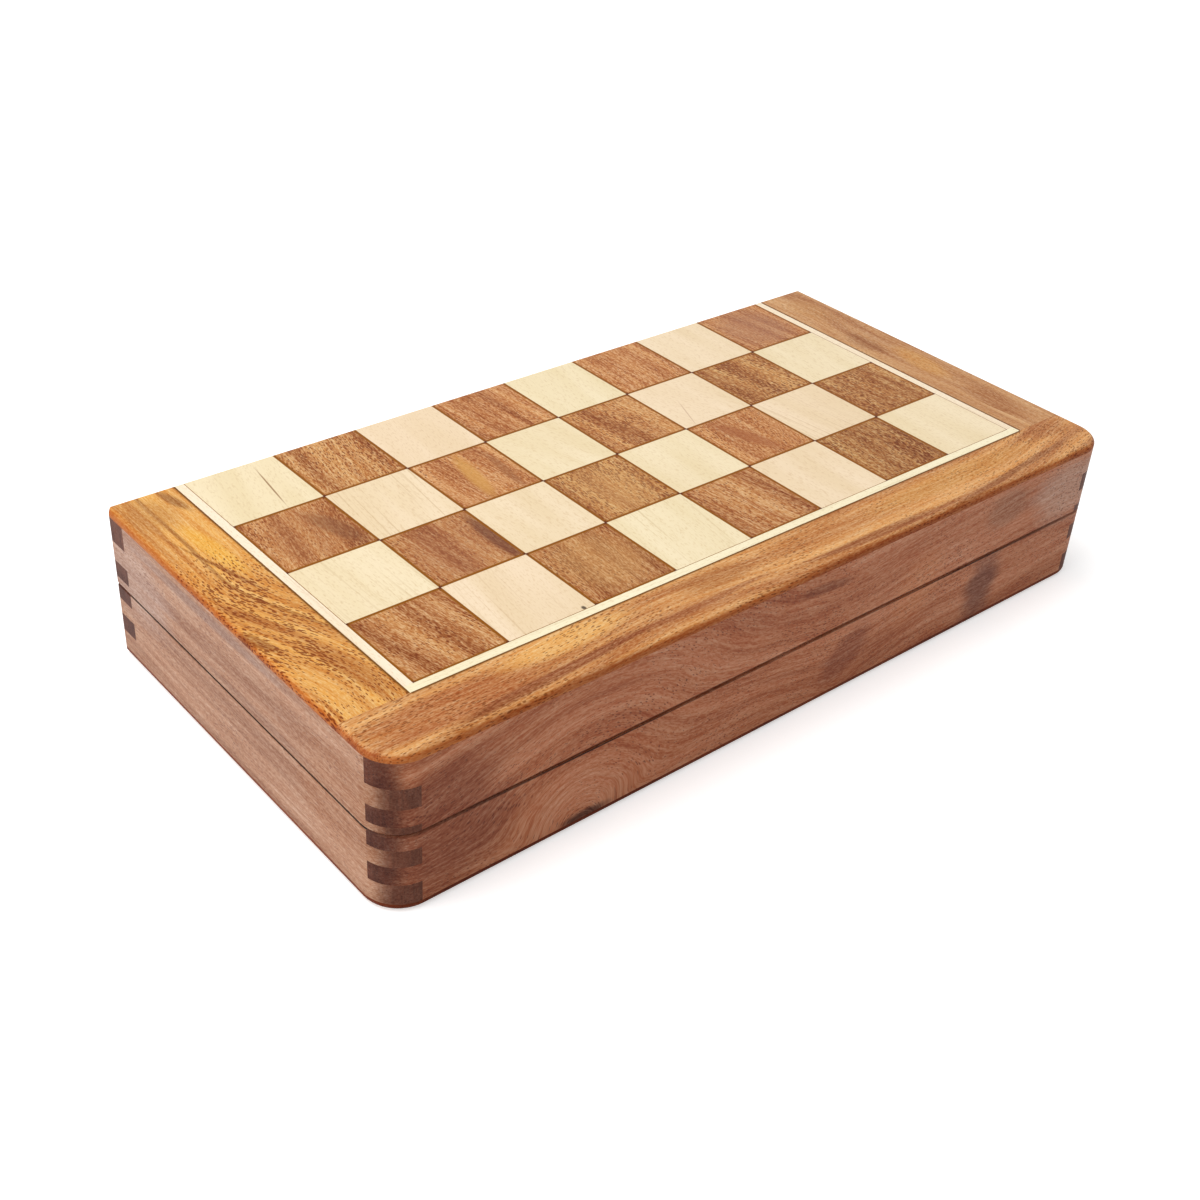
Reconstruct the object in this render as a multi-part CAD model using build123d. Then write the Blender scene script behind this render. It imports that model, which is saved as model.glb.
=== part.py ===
from build123d import *
import os

# Board: half of it is the lid's top face and half is the base's bottom face
square_size = 26.2
square_columns = 8
square_rows = 4
border_width = 22.2  # from the edge squares' grid line out to the side of the box
side_column_extra = 0.6  # the outer columns are this much wider than the rest
front_row_extra = 1.5  # the front row is this much longer than the rest
stringing_width = 2.5
board_layer = 2.0  # thickness of squares, stringing and borders
board_edge_round = 1.5  # rounded lip round the board face

# Box walls, glued up whole and then sawn in two along the seam
side_wall = 9.5
long_wall = 8.0
front_corner_radius = 10.0
back_corner_ease = 1.0
rim_bevel = 0.4
rim_gap = 0.2  # air between the two rims when the box is shut
rim_hollow = 0.4  # how far the front rims bow apart at mid-length
# Heights of the corner fingers from the rim outwards; the last one takes what is left
lid_fingers = (2.4, 5.0, 5.8)
base_fingers = (4.3, 4.9, 5.35)

# Panel that closes each half, and the steel sheet let into it under the squares
panel_thickness = 3.0
panel_ledge = 4.0
steel_thickness = 0.4
steel_margin = 2.0
steel_clearance = 0.2

# Chessmen: height with the felt pad, and base diameter
king_height = 50.0
king_diameter = 15.5
queen_height = 45.0
queen_diameter = 15.0
bishop_height = 39.0
bishop_diameter = 14.5
knight_height = 35.0
knight_diameter = 15.0
rook_height = 30.0
rook_diameter = 14.5
pawn_height = 26.0
pawn_diameter = 13.0
felt_thickness = 0.8
felt_inset = 0.4
piece_magnet_radius = 3.5
piece_magnet_thickness = 2.0
piece_magnet_clearance = 0.05

# Foam insert that holds the chessmen lying down
insert_clearance = 0.3
insert_floor = 1.2  # foam left under the deepest slot
slot_clearance = 0.3
rim_headroom = 0.4  # the insert lies this far below the rim
channel_width = 20.0
channel_depth = 11.8
channel_end = 6.0

# Butt hinges on the back walls
hinge_inset = 55.0  # from the end of the box to the middle of a hinge
hinge_length = 25.0
hinge_standoff = 0.15  # from the back face to the hinge axis
leaf_width = 6.0
leaf_thickness = 1.0
leaf_clearance = 0.1
barrel_radius = 1.6
barrel_clearance = 0.3
knuckle_count = 3
knuckle_gap = 0.2
pin_radius = 0.8
pin_running_clearance = 0.05
screw_spacing = 14.0
screw_from_edge = 3.3
screw_head_radius = 1.8
screw_shank_radius = 0.9
screw_length = 7.0
screw_clearance = 0.05
screw_slot_width = 0.5
screw_slot_depth = 0.4

# Magnets let into the front rims, which hold the box shut
closure_inset = 24.0
closure_radius = 3.0
closure_thickness = 2.0
closure_recess = 0.3
closure_clearance = 0.05

# Worked out from the sizes above
box_length = square_columns * square_size + 2 * border_width
box_width = square_rows * square_size + border_width
half_length = box_length / 2
front_y = -box_width / 2
back_y = box_width / 2
grid_left = -square_columns * square_size / 2
grid_front = front_y + border_width
squares_left = grid_left - side_column_extra
squares_front = grid_front - front_row_extra
stringing_left = squares_left - stringing_width
stringing_front = squares_front - stringing_width
insert_height = insert_floor + slot_clearance + king_diameter
rim_z = board_layer + panel_thickness + insert_height + rim_headroom
half_height = rim_z + rim_gap / 2
panel_top = board_layer + panel_thickness
insert_top = panel_top + insert_height
hinge_y = back_y + hinge_standoff
hinge_centres = (-half_length + hinge_inset, half_length - hinge_inset)


def block(x0, x1, y0, y1, z0, z1):
    """A box between two opposite corners."""
    middle = Pos((x0 + x1) / 2, (y0 + y1) / 2, (z0 + z1) / 2)
    return middle * Box(x1 - x0, y1 - y0, z1 - z0)


def rod(radius, length, centre):
    """A cylinder along X about a centre point."""
    return Pos(*centre) * Rot(0, 90, 0) * Cylinder(radius, length)


def upright(radius, x, y, z0, z1):
    """A cylinder along Z between two heights."""
    return Pos(x, y, (z0 + z1) / 2) * Cylinder(radius, z1 - z0)


def save(name, solids):
    """Write one node, which may be a group of separate solids."""
    export_step(Compound([s for part in solids for s in part.solids()]), f"parts/{name}.step")


# Every half is drawn with its board face at z = 0 and its rim at the top.
# The base stays so, and the lid is its mirror image in the seam plane.
def place(solids, half):
    if half == "base":
        return list(solids)
    seam = Plane.XY.offset(half_height)
    return [mirror(part, about=seam) for part in solids]


def outline_slab(z0, z1):
    """The outline of the box as a slab, with round front corners and square back ones."""
    plan = Rectangle(box_length, box_width)
    front = plan.vertices().sort_by(Axis.Y)[:2]
    return Pos(0, 0, z0) * extrude(fillet(front, front_corner_radius), z1 - z0)


def ease_back_corners(part):
    """Take the sharp edge off the two back corners."""
    side = back_corner_ease * 2**0.5
    for x in (-half_length, half_length):
        part -= Pos(x, back_y, half_height / 2) * Rot(0, 0, 45) * Box(side, side, half_height * 2)
    return part


def board_blank():
    """The whole board face in one piece, with its lip rounded on the three outer sides."""
    slab = outline_slab(0, board_layer)
    edges = slab.edges().filter_by_position(Axis.Z, -0.01, 0.01)
    lip = [e for e in edges if e.center().Y < back_y - 0.01]
    return ease_back_corners(fillet(lip, board_edge_round))


def wall_frame():
    """All four walls of a half in one piece, before the fingers part them."""
    frame = outline_slab(board_layer, rim_z)
    rim = frame.edges().filter_by_position(Axis.Z, rim_z - 0.01, rim_z + 0.01)
    frame = ease_back_corners(chamfer(rim, rim_bevel))
    inner_x = half_length - side_wall
    frame -= block(-inner_x, inner_x, front_y + long_wall, back_y - long_wall, 0, rim_z + 1)
    frame -= panel_block()
    for x in hinge_centres:
        relief_radius = barrel_radius + barrel_clearance
        relief_length = hinge_length + 2 * barrel_clearance
        frame -= rod(relief_radius, relief_length, (x, hinge_y, half_height))
        half = hinge_length / 2 + leaf_clearance
        leaf_front = back_y - leaf_width - leaf_clearance
        frame -= block(x - half, x + half, leaf_front, back_y + 1, rim_z - leaf_thickness, rim_z + 1)
        for sx in screw_places(x):
            depth = rim_z - screw_length - screw_clearance
            frame -= upright(screw_shank_radius + screw_clearance, sx, screw_y(), depth, rim_z)
    for x, y in closure_places():
        top = rim_z - closure_recess
        hole = closure_radius + closure_clearance
        frame -= upright(hole, x, y, top - closure_thickness, rim_z + 1)
    return frame - rim_bow()


def panel_block():
    """The space of the plywood panel, in its rebate round the inside of the walls."""
    x = half_length - side_wall + panel_ledge
    y0 = front_y + long_wall - panel_ledge
    y1 = back_y - long_wall + panel_ledge
    return block(-x, x, y0, y1, board_layer, panel_top)


def rim_bow():
    """The sliver that the front rim lacks between its corners, bounded by a shallow arc."""
    x = half_length - side_wall
    arc = ThreePointArc((-x, rim_z), (0, rim_z - rim_hollow), (x, rim_z))
    face = make_face([arc, Line((x, rim_z), (-x, rim_z))])
    sliver = extrude(Plane.XZ * face, long_wall + 1, both=True)
    return Pos(0, front_y, 0) * sliver


def finger_levels(fingers):
    """Heights where the corner fingers change over, from the rim to the board layer."""
    levels = [rim_z]
    for height in fingers:
        levels.append(levels[-1] - height)
    return levels + [board_layer]


def walls(fingers, first):
    """The four walls of a half. The wall named first shows its end at the rim."""
    frame = wall_frame()
    inner_x = half_length - side_wall
    inner_front = front_y + long_wall
    inner_back = back_y - long_wall
    levels = finger_levels(fingers)
    far = box_length
    strips = {
        "front_wall": block(-far, far, -far, inner_front, 0, half_height),
        "back_wall": block(-far, far, inner_back, far, 0, half_height),
        "left_wall": block(-far, -inner_x, -far, far, 0, half_height),
        "right_wall": block(inner_x, far, -far, far, 0, half_height),
    }
    corners = [
        block(-far, -inner_x, -far, inner_front, 0, half_height),
        block(inner_x, far, -far, inner_front, 0, half_height),
        block(-far, -inner_x, inner_back, far, 0, half_height),
        block(inner_x, far, inner_back, far, 0, half_height),
    ]
    owner = first
    for top, bottom in zip(levels, levels[1:]):
        lost = ("front_wall", "back_wall") if owner == "side" else ("left_wall", "right_wall")
        layer = block(-far, far, -far, far, bottom, top)
        for name in lost:
            for corner in corners:
                strips[name] -= corner & layer
        owner = "long" if owner == "side" else "side"
    return {name: frame & strip for name, strip in strips.items()}


def squares(parity):
    """The squares of one colour: those whose column and row add up to the given parity."""
    found = []
    for column in range(square_columns):
        for row in range(square_rows):
            if (column + row) % 2 != parity:
                continue
            x0 = grid_left + column * square_size
            x1 = x0 + square_size
            y0 = grid_front + row * square_size
            if column == 0:
                x0 = squares_left
            if column == square_columns - 1:
                x1 = -squares_left
            y1 = y0 + square_size
            if row == 0:
                y0 = squares_front
            found.append(block(x0, x1, y0, y1, 0, board_layer))
    return found


def borders():
    """The three broad strips round the squares. The front one runs the whole length."""
    blank = board_blank()
    far = box_length
    return {
        "front_border": blank & block(-far, far, -far, stringing_front, 0, board_layer),
        "left_border": blank & block(-far, stringing_left, stringing_front, far, 0, board_layer),
        "right_border": blank & block(-stringing_left, far, stringing_front, far, 0, board_layer),
    }


def front_stringing():
    x = -stringing_left
    return [block(-x, x, stringing_front, squares_front, 0, board_layer)]


def side_stringing():
    return [
        block(stringing_left, squares_left, squares_front, back_y, 0, board_layer),
        block(-squares_left, -stringing_left, squares_front, back_y, 0, board_layer),
    ]


def steel_block(grow):
    """The steel sheet under the squares, or with grow its pocket in the panel."""
    x = -grid_left - steel_margin + grow
    y0 = grid_front + steel_margin - grow
    y1 = back_y - long_wall + panel_ledge - steel_margin + grow
    return block(-x, x, y0, y1, board_layer, board_layer + steel_thickness)


# Chessmen stand on z = 0 while they are drawn. In a profile each row is a radius as a
# share of the base radius, a height as a share of the man's height above the felt, and
# how far the stretch up to it bulges, as a share of the base radius.
def turned(profile, height, diameter):
    """A turned man: the profile carried round the upright axis."""
    radius = diameter / 2
    tall = height - felt_thickness
    edges = []
    here = (0, felt_thickness)
    for share, level, bulge in profile:
        there = (share * radius, felt_thickness + level * tall)
        if bulge:
            edges.append(SagittaArc(here, there, bulge * radius))
        else:
            edges.append(Line(here, there))
        here = there
    edges.append(Line(here, (0, felt_thickness)))
    return revolve(Plane.XZ * make_face(edges), Axis.Z)


def knob(share, height, diameter):
    """A ball that tops a man, with its radius as a share of the base radius."""
    radius = share * diameter / 2
    return Pos(0, 0, height - radius) * Sphere(radius)


def magnet_pocket(body):
    radius = piece_magnet_radius + piece_magnet_clearance
    top = felt_thickness + piece_magnet_thickness
    return body - upright(radius, 0, 0, 0, top)


def foot(neck_radius, neck_level):
    """The foot that all the men share: a rim, a quarter round, a step and a hollow stem."""
    return [
        (1.0, 0, 0),
        (1.0, 0.045, 0),
        (0.84, 0.095, -0.05),
        (0.84, 0.115, 0),
        (0.60, 0.17, 0.05),
        (neck_radius, neck_level, 0.07),
    ]


def collar(neck_radius, level, reach):
    """The raised ring under a man's head."""
    return [
        (reach, level + 0.02, 0),
        (reach, level + 0.04, 0),
        (neck_radius + 0.08, level + 0.06, 0),
    ]


def king():
    profile = foot(0.34, 0.50) + collar(0.34, 0.50, 0.62) + [
        (0.50, 0.58, 0),
        (0.38, 0.60, 0),
        (0.62, 0.79, 0.05),
        (0.58, 0.81, 0),
        (0.14, 0.86, -0.05),
        (0, 0.86, 0),
    ]
    body = turned(profile, king_height, king_diameter)
    tall = king_height - felt_thickness
    top = felt_thickness + 0.84 * tall
    bar = 0.11 * king_diameter
    body += block(-bar / 2, bar / 2, -bar / 2, bar / 2, top, king_height)
    arm_z = felt_thickness + 0.945 * tall
    arm = 0.19 * king_diameter
    body += block(-arm, arm, -bar / 2, bar / 2, arm_z - bar / 2, arm_z + bar / 2)
    return body


def queen():
    profile = foot(0.34, 0.52) + collar(0.34, 0.52, 0.62) + [
        (0.48, 0.60, 0),
        (0.36, 0.62, 0),
        (0.66, 0.87, 0.08),
        (0.60, 0.89, 0),
        (0.50, 0.88, 0),
        (0.12, 0.94, -0.06),
        (0, 0.94, 0),
    ]
    body = turned(profile, queen_height, queen_diameter)
    body += knob(0.2, queen_height, queen_diameter)
    tall = queen_height - felt_thickness
    notch_z = felt_thickness + 0.895 * tall
    notch = 0.08 * queen_diameter
    for turn in range(4):
        cut = Rot(0, 0, 45 * turn) * Pos(0, 0, notch_z) * Rot(0, 90, 0)
        ring = cut * Cylinder(notch / 2, queen_diameter)
        core = Cylinder(0.25 * queen_diameter, notch * 2)
        body -= ring - Pos(0, 0, notch_z) * core
    return body


def bishop():
    profile = foot(0.32, 0.52) + collar(0.32, 0.52, 0.58) + [
        (0.34, 0.60, 0),
        (0.50, 0.72, -0.06),
        (0.12, 0.94, -0.10),
        (0, 0.94, 0),
    ]
    body = turned(profile, bishop_height, bishop_diameter)
    body += knob(0.2, bishop_height, bishop_diameter)
    slit_z = felt_thickness + 0.83 * (bishop_height - felt_thickness)
    slit = 0.06 * bishop_diameter
    depth = 0.30 * bishop_diameter
    tilt = Pos(depth * 0.75, 0, slit_z) * Rot(0, -50, 0)
    return body - tilt * Box(depth, bishop_diameter, slit)


def rook():
    profile = foot(0.46, 0.60) + [
        (0.66, 0.64, 0),
        (0.66, 0.68, 0),
        (0.54, 0.71, 0),
        (0.66, 0.78, 0.02),
        (0.66, 1.0, 0),
        (0.42, 1.0, 0),
        (0.42, 0.88, 0),
        (0, 0.88, 0),
    ]
    body = turned(profile, rook_height, rook_diameter)
    gap = 0.14 * rook_diameter
    gap_depth = 0.09 * rook_height
    for turn in range(2):
        cut = Rot(0, 0, 90 * turn) * Pos(0, 0, rook_height)
        body -= cut * Box(rook_diameter, gap, 2 * gap_depth)
    return body


def pawn():
    profile = foot(0.34, 0.60) + collar(0.34, 0.60, 0.60) + [
        (0.28, 0.72, 0),
        (0, 0.72, 0),
    ]
    body = turned(profile, pawn_height, pawn_diameter)
    return body + knob(0.56, pawn_height, pawn_diameter)


def carved_face(first, *stretches):
    """A closed outline through smooth stretches of points that meet at corners."""
    edges = []
    here = first
    for stretch in stretches:
        points = [here, *stretch]
        edges.append(Spline(*points) if len(points) > 2 else Line(*points))
        here = points[-1]
    return make_face(edges)


def knight():
    """A turned foot with a horse's head on it, sawn from the side and the front and carved."""
    radius = knight_diameter / 2
    tall = knight_height - felt_thickness
    body = turned(foot(0.66, 0.22) + [(0.76, 0.25, 0), (0.76, 0.28, 0), (0, 0.28, 0)],
                  knight_height, knight_diameter)

    def spot(share, level):
        return (share * radius, felt_thickness + level * tall)

    side = carved_face(
        spot(0.66, 0.27),
        [spot(0.84, 0.42), spot(0.80, 0.62), spot(0.52, 0.82), spot(0.16, 0.92)],
        [spot(0.02, 1.0)],
        [spot(-0.12, 0.90)],
        [spot(-0.38, 0.82), spot(-0.66, 0.70), spot(-0.86, 0.62)],
        [spot(-0.92, 0.565), spot(-0.80, 0.525)],
        [spot(-0.56, 0.535), spot(-0.30, 0.60), spot(-0.10, 0.60)],
        [spot(-0.22, 0.47), spot(-0.52, 0.38), spot(-0.68, 0.27)],
        [spot(0.66, 0.27)],
    )
    front = carved_face(
        spot(0.56, 0.27),
        [spot(0.44, 0.42), spot(0.46, 0.62), spot(0.40, 0.84), spot(0.26, 1.0)],
        [spot(-0.26, 1.0)],
        [spot(-0.40, 0.84), spot(-0.46, 0.62), spot(-0.44, 0.42), spot(-0.56, 0.27)],
        [spot(0.56, 0.27)],
    )
    head = extrude(Plane.XZ * side, radius, both=True)
    head &= extrude(Plane.YZ * front, radius, both=True)
    head &= turned([(0.74, 0, 0), (0.74, 0.29, 0), (0.88, 0.36, 0), (0.96, 0.60, 0),
                    (0.50, 1.0, 0), (0, 1.0, 0)], knight_height, knight_diameter)
    for hand in (-1, 1):
        eye_x, eye_z = spot(-0.30, 0.755)
        head += Pos(eye_x, hand * 0.39 * radius, eye_z) * Sphere(0.09 * radius)
        nostril_x, nostril_z = spot(-0.74, 0.60)
        head -= Pos(nostril_x, hand * 0.46 * radius, nostril_z) * Sphere(0.07 * radius)
    mouth_x, mouth_z = spot(-0.84, 0.565)
    saw_cut = Box(0.50 * radius, 2 * radius, 0.05 * radius)
    head -= Pos(mouth_x, 0, mouth_z) * Rot(0, 12, 0) * saw_cut
    for share, level in ((0.92, 0.38), (0.93, 0.48), (0.91, 0.59), (0.82, 0.70), (0.63, 0.81)):
        lock_x, lock_z = spot(share, level)
        head -= Pos(lock_x, 0, lock_z) * Rot(0, 30, 0) * Box(0.58 * radius, 2 * radius, 0.07 * radius)
    ear_gap = Pos(0, 0, knight_height) * Rot(45, 0, 0) * Box(radius, 0.2 * radius, 0.2 * radius)
    return body + (head - ear_gap)


def felt_pad(diameter):
    return upright(diameter / 2 - felt_inset, 0, 0, 0, felt_thickness)


def piece_magnet():
    top = felt_thickness + piece_magnet_thickness
    return upright(piece_magnet_radius, 0, 0, felt_thickness, top)


# The back rank lies along the front wall and the pawns along the back wall, all with
# their heads to the finger channel between them. Each base is flush with the foam.
insert_length = box_length - 2 * side_wall - 2 * insert_clearance
insert_width = box_width - 2 * long_wall - 2 * insert_clearance
slot_pitch = insert_length / square_columns
row_depth = king_height + pawn_height + 4 * slot_clearance
row_margin = (insert_width - row_depth - channel_width) / 2
channel_front = -insert_width / 2 + row_margin + king_height + 2 * slot_clearance
channel_back = channel_front + channel_width

men = {
    "king": (king, king_height, king_diameter),
    "queen": (queen, queen_height, queen_diameter),
    "bishop": (bishop, bishop_height, bishop_diameter),
    "knight": (knight, knight_height, knight_diameter),
    "rook": (rook, rook_height, rook_diameter),
    "pawn": (pawn, pawn_height, pawn_diameter),
}
back_rank = [
    ("rook", "rook_1"), ("knight", "knight_1"), ("bishop", "bishop_1"), ("queen", "queen"),
    ("king", "king"), ("bishop", "bishop_2"), ("knight", "knight_2"), ("rook", "rook_2"),
]


def slot_x(column):
    return (column - (square_columns - 1) / 2) * slot_pitch


def lay_down(part, kind, column):
    """Lay a standing man in its slot, with its head at the channel."""
    tall, wide = men[kind][1:]
    height = insert_top - wide / 2
    if kind == "pawn":
        foot_y = channel_back + slot_clearance + tall
        return Pos(slot_x(column), foot_y, height) * Rot(90, 0, 0) * part
    foot_y = channel_front - slot_clearance - tall
    return Pos(slot_x(column), foot_y, height) * Rot(-90, 0, 0) * part


def slot(kind, column):
    """The space cut from the foam for one man: a trough with a round bottom."""
    tall, wide = men[kind][1:]
    radius = wide / 2 + slot_clearance
    length = tall + 2 * slot_clearance
    if kind == "pawn":
        y0, y1 = channel_back - 1, channel_back + length
    else:
        y0, y1 = channel_front - length, channel_front + 1
    x = slot_x(column)
    height = insert_top - wide / 2
    trough = Pos(x, (y0 + y1) / 2, height) * Rot(90, 0, 0) * Cylinder(radius, y1 - y0)
    return trough + block(x - radius, x + radius, y0, y1, height, insert_top + 1)


def foam_insert():
    x = insert_length / 2
    y = insert_width / 2
    foam = block(-x, x, -y, y, panel_top, insert_top)
    end = x - channel_end
    foam -= block(-end, end, channel_front, channel_back, insert_top - channel_depth, insert_top + 1)
    for column, (kind, _) in enumerate(back_rank):
        foam -= slot(kind, column)
        foam -= slot("pawn", column)
    return foam


# Hinges. The axis lies in the seam plane, just behind the back faces.
def screw_places(x):
    return (x - screw_spacing / 2, x + screw_spacing / 2)


def screw_y():
    return back_y - screw_from_edge


def knuckle_spans(x, lid):
    """The stretches of the barrel that belong to one leaf: the odd ones to the lid's."""
    pitch = (hinge_length + knuckle_gap) / knuckle_count
    start = x - hinge_length / 2
    for number in range(knuckle_count):
        if (number % 2 == 1) == lid:
            x0 = start + number * pitch
            yield x0, x0 + pitch - knuckle_gap


def hinge_leaf(x, lid):
    """One brass leaf with its knuckles rolled round the pin."""
    half = hinge_length / 2
    leaf = block(x - half, x + half, back_y - leaf_width, hinge_y, rim_z - leaf_thickness, rim_z)
    for x0, x1 in knuckle_spans(x, not lid):
        length = x1 - x0 + 2 * knuckle_gap
        centre = ((x0 + x1) / 2, hinge_y, half_height)
        leaf -= rod(barrel_radius + knuckle_gap, length, centre)
    for x0, x1 in knuckle_spans(x, lid):
        leaf += rod(barrel_radius, x1 - x0, ((x0 + x1) / 2, hinge_y, half_height))
    bore = pin_radius + pin_running_clearance
    leaf -= rod(bore, hinge_length + 1, (x, hinge_y, half_height))
    for sx in screw_places(x):
        leaf -= screw_shape(sx, screw_clearance)
    return leaf


def screw_shape(x, grow):
    """A countersunk screw, head at the rim, or with grow the hole that it sits in."""
    head = Cone(screw_shank_radius + grow, screw_head_radius + grow, leaf_thickness)
    shank_bottom = rim_z - screw_length
    shank = upright(screw_shank_radius + grow, x, screw_y(), shank_bottom, rim_z - leaf_thickness)
    return Pos(x, screw_y(), rim_z - leaf_thickness / 2) * head + shank


def screw(x):
    driver = block(x - screw_head_radius, x + screw_head_radius,
                   screw_y() - screw_slot_width / 2, screw_y() + screw_slot_width / 2,
                   rim_z - screw_slot_depth, rim_z + 1)
    return screw_shape(x, 0) - driver


def closure_places():
    y = front_y + long_wall / 2
    x = half_length - closure_inset
    return ((-x, y), (x, y))


def closure_magnets():
    top = rim_z - closure_recess
    return [upright(closure_radius, x, y, top - closure_thickness, top) for x, y in closure_places()]


os.makedirs("parts", exist_ok=True)

halves = {"base": (base_fingers, "long", 1), "lid": (lid_fingers, "side", 0)}
for half, (fingers, first, dark_parity) in halves.items():
    lid = half == "lid"
    pieces = {name: [wall] for name, wall in walls(fingers, first).items()}
    pieces.update({name: [border] for name, border in borders().items()})
    pieces["plywood_panel"] = [panel_block() - steel_block(steel_clearance)]
    pieces["steel_sheet"] = [steel_block(0)]
    pieces["dark_squares"] = squares(dark_parity)
    pieces["light_squares"] = squares(1 - dark_parity)
    pieces["front_stringing"] = front_stringing()
    pieces["side_stringing"] = side_stringing()
    pieces["foam_insert"] = [foam_insert()]
    pieces["hinge_leaves"] = [hinge_leaf(x, lid) for x in hinge_centres]
    pieces["hinge_screws"] = [screw(sx) for x in hinge_centres for sx in screw_places(x)]
    pieces["closure_magnets"] = closure_magnets()
    for name, solids in pieces.items():
        save(f"{half}_{name}", place(solids, half))

save("hinge_pins", [rod(pin_radius, hinge_length, (x, hinge_y, half_height)) for x in hinge_centres])

# White lies in the base and black in the lid
for colour, half in {"white": "base", "black": "lid"}.items():
    pads = []
    magnets = []
    for column, (kind, node) in enumerate(back_rank):
        body = magnet_pocket(men[kind][0]())
        save(f"{colour}_{node}", place([lay_down(body, kind, column)], half))
    body = magnet_pocket(pawn())
    pawns = [lay_down(body, "pawn", column) for column in range(square_columns)]
    save(f"{colour}_pawns", place(pawns, half))
    for column, (kind, _) in enumerate(back_rank):
        for each in (kind, "pawn"):
            pads.append(lay_down(felt_pad(men[each][2]), each, column))
            magnets.append(lay_down(piece_magnet(), each, column))
    save(f"{colour}_felt_pads", place(pads, half))
    save(f"{colour}_piece_magnets", place(magnets, half))

print("closed size", box_length, box_width, 2 * half_height)
print("finger channel y", channel_front, channel_back, "row margin", row_margin)
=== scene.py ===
import bpy
import numpy as np
from mathutils import Matrix, Vector


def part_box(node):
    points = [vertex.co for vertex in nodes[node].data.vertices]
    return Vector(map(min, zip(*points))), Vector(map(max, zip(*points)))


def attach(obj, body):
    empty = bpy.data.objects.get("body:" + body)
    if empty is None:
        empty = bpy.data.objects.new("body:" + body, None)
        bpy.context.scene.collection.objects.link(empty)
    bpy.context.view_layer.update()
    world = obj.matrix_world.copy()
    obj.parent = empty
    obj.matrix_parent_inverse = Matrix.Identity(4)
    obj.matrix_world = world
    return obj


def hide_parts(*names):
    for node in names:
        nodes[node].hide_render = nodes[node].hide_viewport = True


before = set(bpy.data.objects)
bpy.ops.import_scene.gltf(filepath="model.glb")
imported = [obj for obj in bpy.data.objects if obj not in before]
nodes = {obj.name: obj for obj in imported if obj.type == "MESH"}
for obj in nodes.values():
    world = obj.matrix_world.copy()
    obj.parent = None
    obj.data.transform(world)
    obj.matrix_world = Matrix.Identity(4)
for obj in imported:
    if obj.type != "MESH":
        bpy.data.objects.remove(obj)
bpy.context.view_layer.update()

# Walls. Each half has four walls of sheesham, glued up as one box with finger joints and
# then sawn apart along the seam, so the figure runs on from the base into the lid. They
# are sanded and lacquered satin, and the fingers show dark end grain at the corners.


def linear(hex_colour):
    """An sRGB hex colour as linear red, green, blue and alpha."""
    parts = [int(hex_colour[i:i + 2], 16) / 255 for i in (1, 3, 5)]
    return (*(c / 12.92 if c <= 0.04045 else ((c + 0.055) / 1.055) ** 2.4 for c in parts), 1.0)


def add(tree, kind, *values, out=0, stops=(), **settings):
    """Adds one shader node with its settings and a ramp's stops. Its inputs take the values, as
    constants or links, in order or by name from a dictionary, and None leaves one alone. Gives
    back the outputs named."""
    node = tree.nodes.new("ShaderNode" + kind)
    for name, value in settings.items():
        setattr(node, name, value)
    for number, (place, colour) in enumerate(stops):
        ramp = node.color_ramp.elements
        stop = ramp[number] if number < len(ramp) else ramp.new(place)
        stop.position = place
        stop.color = linear(colour)
    by_name = values and isinstance(values[0], dict)
    for key, value in values[0].items() if by_name else enumerate(values):
        if isinstance(value, bpy.types.NodeSocket):
            tree.links.new(value, node.inputs[key])
        elif value is not None:
            node.inputs[key].default_value = value
    return [node.outputs[name] for name in out] if isinstance(out, tuple) else node.outputs[out]


def finish(name, **shader_inputs):
    """A material with one Principled shader, and the tree to build its pattern in."""
    material = bpy.data.materials.new(name)
    material.use_nodes = True
    shader = material.node_tree.nodes["Principled BSDF"]
    for key, value in shader_inputs.items():
        shader.inputs[key.replace("_", " ")].default_value = value
    return material, material.node_tree, shader


def grain_mm(tree, axes):
    """Object coordinates in millimetres, with the axes in the order given: first along the
    grain, then across it on the face that shows."""
    metres = add(tree, "TexCoord", out="Object")
    mm = add(tree, "VectorMath", metres, (1000, 1000, 1000), operation="MULTIPLY")
    parts = add(tree, "SeparateXYZ", mm, out=("X", "Y", "Z"))
    return add(tree, "CombineXYZ", *(parts["xyz".index(axis)] for axis in axes))


def spread(tree, mm, along, across):
    """Grain coordinates counted in features of this length along the grain and width across."""
    return add(tree, "VectorMath", mm, (1 / along, 1 / across, 1 / across), operation="MULTIPLY")


def stained(tree, mm, colour, fray, patches):
    """Lays soft patches of another tint over a colour. Each has its middle, its half length
    along the grain and half width across it, how far it leans across for each millimetre
    along, a tint and a strength. The fray, a pattern about one half, roughens the edges."""
    along, across = add(tree, "SeparateXYZ", mm, out=("X", "Y"))
    for middle_along, middle_across, half_length, half_width, lean, tint, strength in patches:
        off_along = add(tree, "Math", along, middle_along, operation="SUBTRACT")
        off_across = add(tree, "Math", across, middle_across, operation="SUBTRACT")
        off_across = add(tree, "Math", off_along, -lean, off_across, operation="MULTIPLY_ADD")
        off = add(tree, "VectorMath", add(tree, "CombineXYZ", off_along, off_across),
                  (1 / half_length, 1 / half_width, 0), operation="MULTIPLY")
        away = add(tree, "VectorMath", off, operation="LENGTH", out="Value")
        share = add(tree, "MapRange", add(tree, "Math", fray, away, operation="ADD"), 1.5, 0.9, 0.0,
                    strength, interpolation_type="SMOOTHSTEP")
        colour = add(tree, "MixRGB", share, colour, linear(tint))
    return colour


pore_width = 0.55  # real pores are about 0.2 mm wide, too fine to show, so they are drawn wider


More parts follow.
